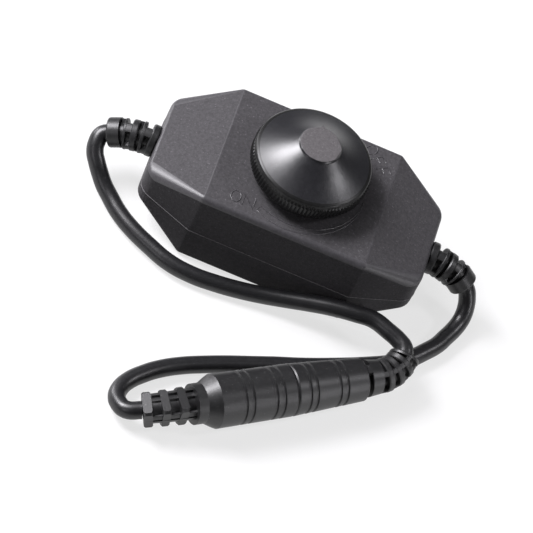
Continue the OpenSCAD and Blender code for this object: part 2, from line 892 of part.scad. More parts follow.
// Electrolytic can that lies across the board on its side
module filter_capacitor() {
    can_x = -pot_w / 2 - capacitor_d;
    leg_d = 0.5;
    leg_pitch = 2.5;
    bead = capacitor_d / 12;
    can_z = board_top_z + capacitor_d / 2;
    back = capacitor_l / 2;
    color([0.12, 0.14, 0.3])
        translate([can_x, 0, can_z])
            rotate([90, 0, 0])
                rotate_extrude($fn = 64)
                    polygon([[0, -back], [capacitor_d / 2, -back],
                        [capacitor_d / 2, back - bead * 4], [capacitor_d / 2 - bead, back - bead * 3],
                        [capacitor_d / 2, back - bead * 2], [capacitor_d / 2, back], [0, back]]);
    color(steel)
        for (i = [-1, 1])
            translate([can_x + i * leg_pitch / 2, -back, can_z]) {
                translate([0, leg_d / 2, 0])
                    rotate([90, 0, 0])
                        cylinder(d = leg_d, h = leg_d * 2, $fn = 16);
                translate([-leg_d / 2, -leg_d * 2, -capacitor_d / 2])
                    cube([leg_d, leg_d, capacitor_d / 2 + leg_d / 2]);
            }
}

module flyback_diode() {
    case_l = 4.3;
    case_w = 2.6;
    case_h = 2.2;
    foot = 0.5;
    translate([-board_l / 2 + case_l * 1.6, half_w / 3, board_top_z]) {
        color([0.12, 0.12, 0.12])
            translate([-case_l / 2, -case_w / 2, 0])
                cube([case_l, case_w, case_h]);
        color(steel)
            for (i = [-1, 1])
                translate([i * (case_l + foot) / 2 - foot / 2, -case_w / 4, 0])
                    cube([foot, case_w / 2, case_h / 2]);
    }
}

// Places of the small chips under the board, as shares of its length and width
resistor_share = [[-0.3, 0.12], [-0.3, -0.12], [0.18, 0.3], [0.32, -0.15]];
ceramic_share = [[-0.12, 0.3], [-0.12, -0.3], [0.32, 0.15]];

module surface_chips(places_share, l, w, h) {
    for (s = places_share)
        translate([s[0] * board_l - l / 2, s[1] * board_w - w / 2, board_z - h])
            cube([l, w, h]);
}

module chip_resistors() {
    resistor_l = 2;
    resistor_w = 1.25;
    resistor_h = 0.55;
    color([0.12, 0.12, 0.12])
        surface_chips(resistor_share, resistor_l, resistor_w, resistor_h);
}

module chip_capacitors() {
    ceramic_l = 2;
    ceramic_w = 1.25;
    ceramic_h = 0.9;
    color([0.75, 0.62, 0.42])
        surface_chips(ceramic_share, ceramic_l, ceramic_w, ceramic_h);
}

// Conductor from a cord entry to its hole in the board
module lead(side, across) {
    wire_foot = 0.8;
    bare_l = wire_d * 2.5;
    start_x = entry_inner_x - slack / 3;
    mirror([side < 0 ? 1 : 0, 0, 0])
        translate([0, across * lead_gap / 2, entry_z]) {
            translate([lead_turn_x + bare_l, 0, 0])
                rotate([0, 90, 0])
                    cylinder(d = lead_d, h = start_x - lead_turn_x - bare_l, $fn = 24);
            translate([lead_turn_x, 0, 0]) {
                rotate([0, 90, 0])
                    cylinder(d = wire_d, h = bare_l + fit, $fn = 24);
                sphere(d = wire_d, $fn = 24);
                translate([0, 0, board_z - entry_z - wire_foot])
                    cylinder(d = wire_d, h = entry_z - board_z + wire_foot, $fn = 24);
            }
        }
}

module output_positive_lead() {
    color([0.75, 0.1, 0.08])
        lead(-1, 1);
}

module output_negative_lead() {
    color(black)
        lead(-1, -1);
}

module input_positive_lead() {
    color([0.75, 0.1, 0.08])
        lead(1, 1);
}

module input_negative_lead() {
    color(black)
        lead(1, -1);
}

// Where a housing relief ends, on the +X side or the -X side
function relief_end(side, bend) = let (r = relief_l * 180 / PI / bend,
    x = r * sin(bend), drop = r * (1 - cos(bend)))
    [side * (half_l + x), -drop * sin(relief_lean), entry_z - drop * cos(relief_lean)];

// Where the plug's relief and the jack's relief end
plug_back_s = plug_body_l + plug_collar_l;
heading = [cos(joint_heading), sin(joint_heading), 0];
plug_turn = [-sin(joint_heading) * cos(plug_lift), cos(joint_heading) * cos(plug_lift),
    sin(plug_lift)];
plug_end = joint_at + heading * (plug_back_s + plug_relief_r * sin(plug_bend))
    + plug_turn * plug_relief_r * (1 - cos(plug_bend));
jack_back_s = jack_body_l + jack_shoulder_l + jack_neck_l;
jack_turn = [-sin(joint_heading) * sin(jack_bend_side), cos(joint_heading) * sin(jack_bend_side),
    -cos(jack_bend_side)];
jack_end = joint_at - heading * (jack_back_s + jack_relief_r * sin(jack_bend))
    + jack_turn * jack_relief_r * (1 - cos(jack_bend));

// Directions in which each cord leaves its two strain reliefs
function relief_out(side, bend) = [side * cos(bend), -sin(bend) * sin(relief_lean),
    -sin(bend) * cos(relief_lean)];
plug_out = heading * cos(plug_bend) + plug_turn * sin(plug_bend);
jack_out = jack_turn * sin(jack_bend) - heading * cos(jack_bend);

function unit(v) = v / norm(v);

// Points given from the end of a strain relief, kept up on the floor
function from_end(end, points) = [for (p = points)
    [end[0] + p[0], end[1] + p[1], max(end[2] + p[2], cord_d / 2)]];

// Tube along a route: eight flat sides, one of them facing down
module cord(route, start_dir, end_dir) {
    sides = 8;
    n = len(route);
    r = cord_d / 2 / cos(180 / sides);
    rings = [for (i = [0:n - 1])
        let (t = i == 0 ? start_dir : i == n - 1 ? -end_dir
                : unit(unit(route[i + 1] - route[i]) + unit(route[i] - route[i - 1])),
            side = unit(cross(t, [0, 0, 1])),
            up = cross(side, t))
        for (k = [0:sides - 1]) let (a = 360 * (k + 0.5) / sides)
            route[i] + r * (cos(a) * side + sin(a) * up)];
    faces = concat(
        [[for (k = [sides - 1:-1:0]) k]],
        [[for (k = [0:sides - 1]) (n - 1) * sides + k]],
        [for (i = [0:n - 2], k = [0:sides - 1])
            let (a = i * sides + k, b = i * sides + (k + 1) % sides)
            [a, b, b + sides]],
        [for (i = [0:n - 2], k = [0:sides - 1])
            let (a = i * sides + k, b = i * sides + (k + 1) % sides)
            [a, b + sides, a + sides]]);
    polyhedron(rings, faces);
}

module output_cord() {
    start = relief_end(-1, output_bend);
    color(black)
        cord(concat([start], from_end(start, output_start), output_route,
            from_end(plug_end, output_finish), [plug_end]), relief_out(-1, output_bend),
            plug_out);
}

module input_cord() {
    start = relief_end(1, input_bend);
    color(black)
        cord(concat([start], from_end(start, input_start), input_route,
            from_end(jack_end, input_finish), [jack_end]), relief_out(1, input_bend),
            jack_out);
}

module at_joint() {
    translate(joint_at)
        rotate(joint_heading)
            children();
}

// Profile of a moulded grip, with a pair of grooves near each end
function groove(s, r) = [[s - groove_w, r], [s - groove_w / 2, r - groove_depth],
    [s + groove_w / 2, r - groove_depth], [s + groove_w, r]];
jack_groove_share = [0.335, 0.43, 0.72, 0.82];
plug_groove_share = [0.164, 0.26, 0.583, 0.684];

// Female jack: flat-sided slotted relief, neck, shoulder and grip in one moulding
module jack_body() {
    r = jack_d / 2;
    lip = 0.4;
    back = -jack_body_l;
    neck = back - jack_shoulder_l;
    tail = neck - jack_neck_l;
    face_r = r - (jack_d - plug_d) / 2;
    color(black)
        at_joint() {
            difference() {
                rotate([0, 90, 0])
                    rotate_extrude($fn = 96)
                        polygon(concat([[0, tail], [jack_neck_d / 2, tail],
                            [jack_neck_d / 2, neck], [r - lip, back], [r, back + lip * 2]],
                            [for (s = jack_groove_share) for (p = groove(-jack_body_l * (1 - s), r))
                                [p[1] - (jack_d - plug_d) / 2 * s, p[0]]],
                            [[face_r, -lip], [face_r - lip / 2, 0], [0, 0]]));
                rotate([0, -90, 0])
                    translate([0, 0, -cut])
                        cylinder(d = socket_d + socket_wall * 2, h = socket_l + insulator_l + cut,
                            $fn = 64);
            }
            translate([tail + lip, 0, 0])
                rotate([0, 180, 0])
                    relief_ring(relief_core_d - slack * 2, lip * 3);
            translate([tail, 0, 0])
                rotate([-jack_bend_side, 0, 180])
                    bent_relief(jack_bend, jack_relief_l, jack_relief_d, jack_relief_tip_d,
                        jack_ring_share, jack_web_turns, jack_bend_side, jack_web_share,
                        jack_flat_share);
        }
}

// Spring sleeve that takes the outside of the barrel
module jack_contact() {
    color(brass)
        at_joint()
            rotate([0, -90, 0])
                difference() {
                    translate([0, 0, socket_wall])
                        cylinder(d = socket_d + socket_wall * 2, h = socket_l - socket_wall,
                            $fn = 64);
                    translate([0, 0, -cut])
                        cylinder(d = socket_d, h = socket_l + cut * 2, $fn = 64);
                }
}

module jack_insulator() {
    color([0.85, 0.84, 0.8])
        at_joint()
            rotate([0, -90, 0])
                translate([0, 0, socket_l])
                    difference() {
                        cylinder(d = socket_d + socket_wall * 2, h = insulator_l, $fn = 64);
                        translate([0, 0, -cut])
                            cylinder(d = contact_d - fit, h = insulator_l + cut * 2, $fn = 48);
                    }
}

// Centre pin with a rounded tip
module jack_pin() {
    pin_d = contact_d - fit * 2;
    tip = socket_l * 0.15;
    pin_l = socket_l - tip + insulator_l;
    color(brass)
        at_joint()
            rotate([0, -90, 0])
                translate([0, 0, tip]) {
                    translate([0, 0, pin_d / 2])
                        cylinder(d = pin_d, h = pin_l - pin_d / 2, $fn = 48);
                    translate([0, 0, pin_d / 2])
                        sphere(d = pin_d, $fn = 48);
                }
}

// Male plug: grip, collar and bent slotted relief in one moulding
module plug_body() {
    r = plug_d / 2;
    lip = 0.3;
    fall = (plug_d - plug_back_d) / 2;
    collar_gap = 1.1;
    color(black)
        at_joint() {
            difference() {
                rotate([0, 90, 0])
                    rotate_extrude($fn = 96)
                        polygon(concat([[0, fit], [r - lip / 2, fit], [r, lip + fit]],
                            [for (s = plug_groove_share) for (p = groove(plug_body_l * s, r))
                                [p[1] - fall * s, p[0]]],
                            [[r - fall, plug_body_l - lip], [r - fall - lip, plug_body_l],
                                [relief_core_d / 2 + lip, plug_body_l],
                                [relief_core_d / 2 + lip, plug_body_l + collar_gap],
                                [plug_collar_d / 2, plug_body_l + collar_gap],
                                [plug_collar_d / 2 - lip, plug_back_s], [0, plug_back_s]]));
                rotate([0, 90, 0])
                    translate([0, 0, -cut])
                        cylinder(d = barrel_d + fit, h = plug_root_l + cut, $fn = 64);
            }
            for (i = [-1, 1])
                translate([plug_body_l - fit, -plug_collar_d / 8, i > 0 ? 0 : -plug_collar_d / 2])
                    cube([collar_gap + fit * 2, plug_collar_d / 4, plug_collar_d / 2]);
            translate([plug_back_s - lip, 0, 0])
                relief_ring(relief_core_d - slack * 2, lip * 4);
            translate([plug_back_s, 0, 0])
                rotate([plug_lift + 90, 0, 0])
                    bent_relief(plug_bend, plug_relief_l, plug_relief_d, plug_relief_tip_d,
                        plug_ring_share, plug_web_turns, 0, plug_web_share);
        }
}

// Outer barrel of the plug, with a rolled mouth
module plug_barrel() {
    roll = barrel_wall / 2;
    color(steel)
        at_joint()
            rotate([0, 90, 0])
                rotate_extrude($fn = 64)
                    polygon([[barrel_d / 2 - barrel_wall, -barrel_l],
                        [barrel_d / 2 - roll, -barrel_l], [barrel_d / 2, -barrel_l + roll],
                        [barrel_d / 2, plug_root_l - fit],
                        [barrel_d / 2 - barrel_wall, plug_root_l - fit]]);
}

module plug_insulator() {
    inset = 0.2;
    color([0.12, 0.12, 0.12])
        at_joint()
            rotate([0, 90, 0])
                translate([0, 0, -barrel_l + inset])
                    difference() {
                        cylinder(d = barrel_d - barrel_wall * 2 - fit,
                            h = barrel_l + plug_root_l - inset - fit, $fn = 64);
                        translate([0, 0, -cut])
                            cylinder(d = contact_d + barrel_wall * 2 + fit,
                                h = barrel_l + plug_root_l + cut * 2, $fn = 48);
                    }
}

// Inner tube of the plug that takes the jack's pin
module plug_contact() {
    inset = 0.5;
    color(brass)
        at_joint()
            rotate([0, 90, 0])
                translate([0, 0, -barrel_l + inset])
                    difference() {
                        cylinder(d = contact_d + barrel_wall * 2,
                            h = barrel_l + plug_root_l - inset - fit, $fn = 48);
                        translate([0, 0, -cut])
                            cylinder(d = contact_d, h = barrel_l + plug_root_l + cut * 2,
                                $fn = 48);
                    }
}

top_cover();
bottom_cover();
cover_screws();
output_strain_relief();
input_strain_relief();
knob();
pot_shaft();
pot_wiper();
pot_track();
pot_housing();
pot_bushing();
pot_terminals();
pot_washer();
pot_nut();
circuit_board();
mosfet();
timer_chip();
filter_capacitor();
flyback_diode();
chip_resistors();
chip_capacitors();
output_positive_lead();
output_negative_lead();
input_positive_lead();
input_negative_lead();
output_cord();
input_cord();
jack_body();
jack_contact();
jack_insulator();
jack_pin();
plug_body();
plug_barrel();
plug_insulator();
plug_contact();
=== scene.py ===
import math

import bmesh
import bpy
from mathutils import Matrix, Vector


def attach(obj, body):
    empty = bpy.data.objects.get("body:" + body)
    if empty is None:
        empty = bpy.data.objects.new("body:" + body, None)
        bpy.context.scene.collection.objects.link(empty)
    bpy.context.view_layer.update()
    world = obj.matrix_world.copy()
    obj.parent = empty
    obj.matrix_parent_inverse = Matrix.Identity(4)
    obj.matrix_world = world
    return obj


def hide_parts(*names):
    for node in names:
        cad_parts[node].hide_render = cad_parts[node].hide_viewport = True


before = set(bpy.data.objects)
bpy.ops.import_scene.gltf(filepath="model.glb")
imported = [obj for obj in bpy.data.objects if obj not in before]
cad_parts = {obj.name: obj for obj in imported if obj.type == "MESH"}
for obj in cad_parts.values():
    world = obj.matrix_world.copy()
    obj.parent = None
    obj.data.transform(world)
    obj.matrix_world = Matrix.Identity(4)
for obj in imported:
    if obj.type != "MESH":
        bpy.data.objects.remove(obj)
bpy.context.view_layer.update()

MM = 0.001

# Sizes in millimetres and bends in degrees, as in the part's source
BODY_L, BODY_W, BODY_H = 60.0, 31.4, 19.5
FLAT_L, END_W, END_FALL = 35.0, 21.0, 5.0
SEAM_Z = 8.5
WALL = 1.8
CORD_D = 3.6
KNOB_BAND_TOP, KNOB_TOP = 26.4, 30.65
ENTRY_Z = 11.2
RELIEF_L, RELIEF_LEAN = 9.9, 12.0
OUTPUT_BEND, INPUT_BEND = 28.0, 38.0
JOINT_AT = Vector((12.5, -40.8, 5.5))
JOINT_HEADING = math.radians(35.8)
JACK_BODY_L, JACK_SHOULDER_L, JACK_NECK_L, JACK_RELIEF_L = 17.4, 1.7, 2.0, 10.0
JACK_BEND, JACK_BEND_SIDE = 20.0, 38.0
PLUG_BODY_L, PLUG_COLLAR_L = 16.2, 3.6
PLUG_BEND, PLUG_RELIEF_L, PLUG_LIFT = 53.0, 8.0, 25.0

# Routes of the cords: points on the floor, and near each end points given from
# the end of the strain relief there
OUTPUT_START = [(-1.3, -0.8, -0.7), (-1.6, -2.3, -1.6), (-1.2, -3.9, -2.7), (0, -5.4, -3.8),
    (1.5, -6.8, -5.1), (3.1, -8.3, -6.1), (4.9, -9.8, -6.7)]
OUTPUT_ROUTE = [(-31.5, -13.1, 1.8), (-27.8, -15.7, 1.8), (-23.5, -17.9, 1.8),
    (-18.6, -19.9, 1.8), (-13.3, -20.6, 1.8), (-8.4, -20.3, 1.8), (-3.4, -19.7, 2),
    (1.4, -19, 2.5), (6.2, -18.4, 3.5), (10.8, -18, 4.8), (15.6, -17.8, 6.2),
    (20.3, -17.7, 7.1)]
OUTPUT_FINISH = [(-8.5, 5, 0.5), (-4.8, 3.7, 0.6), (-2, 2.5, 0.5), (-0.6, 1.4, 0.4)]
INPUT_START = [(1, -0.3, -0.7), (1.9, -1.2, -2.1), (2.4, -2.2, -3.4), (2.6, -3.5, -4.6),
    (2.4, -5.1, -5.5), (1.7, -7.3, -6), (0.7, -9.6, -6.2)]
INPUT_ROUTE = [(38.7, -12.9, 1.8), (36.7, -15.8, 1.8), (34.3, -18.8, 1.8),
    (31.3, -21.5, 1.8), (26.8, -24.4, 1.8), (21.1, -27.6, 1.8), (13.6, -31.4, 1.8),
    (8.9, -33.5, 1.8), (4.3, -35.7, 1.8), (-0.3, -37.9, 1.8), (-4.7, -40.2, 1.8),
    (-9, -42.7, 1.8), (-12.9, -45.6, 1.8), (-15.5, -48.2, 1.8), (-17.6, -50.9, 1.8),
    (-18.7, -53.5, 1.9)]
INPUT_FINISH = [(-5.6, 2.2, -2), (-4.7, 0.4, -1.5), (-3, -0.8, -0.8)]
CORD_STEPS, CORD_ROUNDNESS = 8, 8

# Camera, fitted to the photograph: its place in millimetres and its three directions
PHOTO_PIXELS, FOCAL_PIXELS, SENSOR_W = 533, 4000, 36
CAMERA_PLACE = Vector((-55.02, -514.45, 638.75))
CAMERA_RIGHT = Vector((0.92013, 0.26431, 0.28896))
CAMERA_UP = Vector((-0.38562, 0.74, 0.55108))
CAMERA_AHEAD = Vector((0.06817, 0.6185, -0.78283))
CLIP_START, CLIP_END = 0.05, 20

# Moulded plastics: tone, tone of the dust and painted glints, roughness, scale of the grain,
# depth of the grain in metres, noise level above which dust and painted glints show, specular
# level
PLASTICS = {
    "housing_black": ((0.055, 0.053, 0.056), (0.13, 0.125, 0.135), 0.5, 5200, 4e-5, 0.67, 0.07),
    "housing_edge": ((0.045, 0.043, 0.047), (0.12, 0.115, 0.125), 0.44, 5200, 1e-5, 0.7, 0.6),
    "knob_black": ((0.011, 0.011, 0.013), (0.03, 0.03, 0.034), 0.32, 5600, 2e-5, 0.7, 0.65),
    "rim_black": ((0.008, 0.008, 0.008), (0.1, 0.1, 0.1), 0.35, 6000, 6e-6, 0.74, 0.3),
    "disc_grey": ((0.085, 0.08, 0.083), (0.17, 0.16, 0.165), 0.55, 7000, 1e-5, 0.66, 0.3),
    "mark_black": ((0.05, 0.048, 0.052), (0.15, 0.15, 0.15), 0.34, 5200, 4e-6, 0.72, 0.8),
    # The parting bead is painted lighter grey than the housing: a painted highlight along the
    # seam's fine edge
    "parting_painted_highlight": ((0.1, 0.096, 0.1), (0.17, 0.17, 0.17), 0.5, 5200, 4e-6, 0.6, 0.4),
    "relief_black": ((0.011, 0.011, 0.0115), (0.08, 0.08, 0.08), 0.42, 3000, 1e-5, 0.72, 0.5),
    "cord_black": ((0.011, 0.011, 0.012), (0.09, 0.09, 0.09), 0.36, 2600, 1.4e-5, 0.72, 0.55),
    "connector_black": ((0.01, 0.01, 0.0105), (0.14, 0.14, 0.14), 0.42, 3600, 1.4e-5, 0.7, 0.65),
    "chip_black": ((0.02, 0.02, 0.021), (0.05, 0.05, 0.05), 0.5, 8000, 1e-5, 0.72, 0.5),
    "board_green": ((0.02, 0.12, 0.045), (0.03, 0.16, 0.06), 0.3, 3000, 1e-5, 0.6, 0.5),
    "resin_green": ((0.05, 0.1, 0.075), (0.08, 0.14, 0.1), 0.45, 4000, 2e-5, 0.72, 0.5),
    "wafer_brown": ((0.14, 0.07, 0.03), (0.2, 0.1, 0.05), 0.55, 4000, 2e-5, 0.72, 0.5),
    "ceramic_tan": ((0.5, 0.36, 0.2), (0.6, 0.46, 0.28), 0.4, 6000, 1e-5, 0.72, 0.5),
    "can_blue": ((0.02, 0.03, 0.09), (0.05, 0.06, 0.13), 0.3, 3000, 5e-6, 0.72, 0.5),
    "nylon_white": ((0.7, 0.68, 0.62), (0.6, 0.58, 0.52), 0.45, 4000, 1e-5, 0.72, 0.5),
    "wire_red": ((0.4, 0.02, 0.015), (0.45, 0.05, 0.04), 0.35, 3000, 1e-5, 0.72, 0.5),
}
CLOUD_SCALE, CLOUD_DETAIL, CLOUD_ROUGHNESS = 1500, 8, 0.9
CLOUD_DARK, CLOUD_LIGHT, CLOUD_FROM, CLOUD_TO = 0.88, 1.4, 0.4, 0.6
GLOSS_SPREAD, GLOSS_FROM, GLOSS_TO = 0.05, 0.3, 0.7
SPECK_SCALE, SPECK_EDGE, FINE_DETAIL = 3000, 0.06, 2

# Metals: tone and roughness
METALS = {
    "plated_steel": ((0.62, 0.63, 0.65), 0.3),
    "nickel": ((0.68, 0.66, 0.62), 0.22),
    "brass": ((0.75, 0.56, 0.26), 0.28),
}
TARNISH, TARNISH_SCALE = 0.8, 300
SCRATCH_SCALE, SCRATCH_STRETCH, SCRATCH_DETAIL = 3000, 12, 3
SCRATCH_SMOOTHER, SCRATCH_ROUGHER = 0.06, 0.1
SCRATCH_STRENGTH, SCRATCH_DEPTH = 0.4, 1e-5

# What the nodes are finished in
FINISHES = {
    "housing_black": ["top_cover", "bottom_cover"],
    "knob_black": ["knob"],
    "relief_black": ["output_strain_relief", "input_strain_relief"],
    "cord_black": ["output_cord", "input_cord", "output_negative_lead", "input_negative_lead"],
    "wire_red": ["output_positive_lead", "input_positive_lead"],
    "connector_black": ["jack_body", "plug_body"],
    "chip_black": ["mosfet", "timer_chip", "flyback_diode", "chip_resistors", "plug_insulator"],
    "board_green": ["circuit_board"],
    "resin_green": ["pot_housing"],
    "wafer_brown": ["pot_track"],
    "ceramic_tan": ["chip_capacitors"],
    "can_blue": ["filter_capacitor"],
    "nylon_white": ["jack_insulator"],
    "plated_steel": ["cover_screws", "pot_washer"],
    "nickel": ["pot_shaft", "pot_bushing", "pot_terminals", "pot_nut", "plug_barrel"],
    "brass": ["pot_wiper", "jack_contact", "jack_pin", "plug_contact"],
}

# Skins, in millimetres and degrees: vertices nearer than JOIN_GAP are joined, and
# edges up to FLAT_ANGLE are dropped and from SHARP_ANGLE on stay sharp
JOIN_GAP, FLAT_ANGLE, SHARP_ANGLE, FLAT_WEIGHT = 0.002, 0.3, 24, 80
# The knob's disc lies within DISC_DEPTH of its top; the covers' rubbed edges are turned
# by more than EDGE_ANGLE from every flat face; both face upwards by at least these shares
DISC_DEPTH, DISC_UPWARD = 0.25, 0.9
EDGE_ANGLE, EDGE_UPWARD = 2, 0.12

# Marks on the top face, in millimetres and degrees round the shaft
LINE_ROUNDNESS = 2
LETTER_H, LETTER_W, STROKE_R, LOOP_STEP = 2.8, 2.1, 0.12, 12
ON_O_CENTRE = (-11.6, -11.6)
ON_N_LEFT, ON_N_RIGHT, ON_FOOT, ON_HEAD = -9.9, -7.6, -13.1, -10.3
OFF_R, OFF_O_AT, OFF_F_AT = 16.0, 50, (40.5, 32)
F_STEM, F_TOP_ARM, F_LOW_ARM, F_LOW_ARM_Y = -0.8, 0.9, 0.6, 1.45
WEDGE_WIDE_R, WEDGE_MIDDLE_R, WEDGE_INNER_R, WEDGE_LINE_R = 14.6, 13.8, 13.1, 0.08
WEDGE_WIDE_TO, WEDGE_MIDDLE_AT = -90, -40
WEDGE_TURNS = range(-118, 2, 4)

# Bead at the seam: its radius, how far it lies above the seam, and how far inside the
# plan, in walls, the cord slots begin
BEAD_R, BEAD_RISE, SLOT_DEPTH = 0.09, 0.05, 0.6

# Bridges of the jack's strain relief: radii of their outer face at the two ends, depth,
# setback of the lower one, half their width in degrees, and the share of the relief
BRIDGE_START_R, BRIDGE_END_R, BRIDGE_DEPTH, LOWER_SETBACK = 3.35, 3.05, 1.55, 0.3
BRIDGE_HALF, BRIDGE_SHARE = 30, 0.97
BRIDGE_STEPS, BRIDGE_SIDES = 16, 8

# Floor, sky and lamps, in metres and watts
FLOOR_HALF, FLOOR_TONE_A, FLOOR_TONE_B, FLOOR_ROUGHNESS = 6, 0.84, 0.86, 0.9
FLECK_SCALE, FLECK_DETAIL = 60, 3
FLOOR_SHADOW, FLOOR_BOUNCE = 0.3, 0.05
FADE_FROM, FADE_TO, FADE_END = 0.45, 1.2, 0.15
SKY_STRENGTH = 0.05
LAMP_TINT = (1, 0.985, 1.025)
LAMPS = [
    # name, direction it shines from, distance, size, power
    ("left_softbox", (-0.7, 0.14, 0.7), 0.7, (0.3, 0.28), 7.6),
    ("left_strip", (-0.86, 0.48, 0.16), 0.6, (0.12, 0.26), 1.4),
    ("front_left_lamp", (-0.52, -0.67, 0.53), 0.7, (0.08, 0.1), 0.3),
    ("right_softbox", (0.694, 0.119, 0.733), 0.7, (0.1, 0.12), 1),
    ("front_strip", (0.87, -0.4, 0.27), 0.6, (0.04, 0.4), 0.9),
    ("top_softbox", (-0.5, 0.2, 0.84), 0.9, (0.5, 0.5), 2.4),
]


def add_object(name, data):
    item = bpy.data.objects.new(name, data)
    bpy.context.scene.collection.objects.link(item)
    return item


# Camera
def make_camera():
    data = bpy.data.cameras.new("camera")
    data.sensor_width = SENSOR_W
    data.lens = FOCAL_PIXELS / PHOTO_PIXELS * SENSOR_W
    data.clip_start = CLIP_START
    data.clip_end = CLIP_END
    camera = add_object("camera", data)
    turn = Matrix((CAMERA_RIGHT, CAMERA_UP, -CAMERA_AHEAD)).transposed().to_4x4()
    camera.matrix_world = Matrix.Translation(CAMERA_PLACE * MM) @ turn
    bpy.context.scene.camera = camera


make_camera()


# Where the strain reliefs end, worked out as in the part's source
def bend_radius(length, bend):
    return length * 180 / math.pi / bend


def bent_point(start, along, turn, radius, angle):
    """A point on the arc that leaves its start along one way and bends towards another."""
    return start + along * radius * math.sin(angle) + turn * radius * (1 - math.cos(angle))


def relief_end(side, bend):
    radius = bend_radius(RELIEF_L, bend)
    reach = radius * math.sin(math.radians(bend))
    drop = radius * (1 - math.cos(math.radians(bend)))
    lean = math.radians(RELIEF_LEAN)
    return Vector((side * (BODY_L / 2 + reach), -drop * math.sin(lean),
        ENTRY_Z - drop * math.cos(lean)))


def heading():
    return Vector((math.cos(JOINT_HEADING), math.sin(JOINT_HEADING), 0))


def plug_end():
    along = heading()
    lift = math.radians(PLUG_LIFT)
    turn = Vector((-along.y * math.cos(lift), along.x * math.cos(lift), math.sin(lift)))
    start = JOINT_AT + along * (PLUG_BODY_L + PLUG_COLLAR_L)
    return bent_point(start, along, turn, bend_radius(PLUG_RELIEF_L, PLUG_BEND),
        math.radians(PLUG_BEND))


def jack_relief_start():
    """Where the jack's relief starts, the way it leaves and the way it bends."""
    along = -heading()
    side = math.radians(JACK_BEND_SIDE)
    turn = Vector((along.y * math.sin(side), -along.x * math.sin(side), -math.cos(side)))
    return JOINT_AT + along * (JACK_BODY_L + JACK_SHOULDER_L + JACK_NECK_L), along, turn


def jack_end():
    return bent_point(*jack_relief_start(), bend_radius(JACK_RELIEF_L, JACK_BEND),
        math.radians(JACK_BEND))


def from_end(end, offsets):
    """Points given from a relief's end, none of them lower than a cord on the floor."""
    return [Vector((end.x + x, end.y + y, max(end.z + z, CORD_D / 2))) for x, y, z in offsets]


# Cords
def make_cord(name, route, node):
    points = [Vector(place) * MM for place in route]
    curve = bpy.data.curves.new(name, "CURVE")
    curve.dimensions = "3D"
    curve.resolution_u = CORD_STEPS
    # The thickness is in the points' radius, so that the cord's box is its true one
    curve.bevel_depth = 1
    curve.bevel_resolution = CORD_ROUNDNESS
    curve.use_fill_caps = True
    spline = curve.splines.new("BEZIER")
    spline.bezier_points.add(len(points) - 1)
    for knot, place in zip(spline.bezier_points, points):
        knot.co = place
        knot.handle_left_type = "AUTO"
        knot.handle_right_type = "AUTO"
        knot.radius = CORD_D / 2 * MM
    cord = add_object(name, curve)
    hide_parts(node)
    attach(cord, "housing")
    return cord


output_exit = relief_end(-1, OUTPUT_BEND)
input_exit = relief_end(1, INPUT_BEND)
output_cord = make_cord("output_cord_tube",
    [output_exit] + from_end(output_exit, OUTPUT_START) + OUTPUT_ROUTE
    + from_end(plug_end(), OUTPUT_FINISH) + [plug_end()], "output_cord")
input_cord = make_cord("input_cord_tube",
    [input_exit] + from_end(input_exit, INPUT_START) + INPUT_ROUTE
    + from_end(jack_end(), INPUT_FINISH) + [jack_end()], "input_cord")


# Materials: the sockets of the Mix node that carry colours
MIX_A, MIX_B, MIX_RESULT = 6, 7, 2


def node_at(tree, kind, x, y):
    node = tree.nodes.new(kind)
    node.location = (x, y)
    return node


def new_material(name):
    material = bpy.data.materials.new(name)
    material.use_nodes = True
    tree = material.node_tree
    tree.nodes.clear()
    output = node_at(tree, "ShaderNodeOutputMaterial", 900, 0)
    shader = node_at(tree, "ShaderNodeBsdfPrincipled", 600, 0)
    tree.links.new(shader.outputs["BSDF"], output.inputs["Surface"])
    place = node_at(tree, "ShaderNodeTexCoord", -900, 0)
    return material, tree, shader, place.outputs["Object"]


def noise(tree, place, scale, detail, x, y, roughness=0.5):
    node = node_at(tree, "ShaderNodeTexNoise", x, y)
    node.inputs["Scale"].default_value = scale
    node.inputs["Detail"].default_value = detail
    node.inputs["Roughness"].default_value = roughness
    tree.links.new(place, node.inputs["Vector"])
    return node.outputs["Fac"]


def ramp(tree, value, low, high, from_tone, to_tone, x, y):
    node = node_at(tree, "ShaderNodeMapRange", x, y)
    node.inputs["From Min"].default_value = low
    node.inputs["From Max"].default_value = high
    node.inputs["To Min"].default_value = from_tone
    node.inputs["To Max"].default_value = to_tone
    tree.links.new(value, node.inputs["Value"])
    return node.outputs["Result"]


def tint(tree, share, tone_a, tone_b, x, y):
    """Mix two tones, each of them a colour or what another node puts out."""
    node = node_at(tree, "ShaderNodeMix", x, y)
    node.data_type = "RGBA"
    for socket, tone in ((node.inputs[MIX_A], tone_a), (node.inputs[MIX_B], tone_b)):
        if isinstance(tone, tuple):
            socket.default_value = (*tone, 1)
        else:
            tree.links.new(tone, socket)
    tree.links.new(share, node.inputs["Factor"])
    return node.outputs[MIX_RESULT]


def bump(tree, shader, height, strength, depth):
    node = node_at(tree, "ShaderNodeBump", 350, -250)
    node.inputs["Strength"].default_value = strength
    node.inputs["Distance"].default_value = depth
    tree.links.new(height, node.inputs["Height"])
    tree.links.new(node.outputs["Normal"], shader.inputs["Normal"])


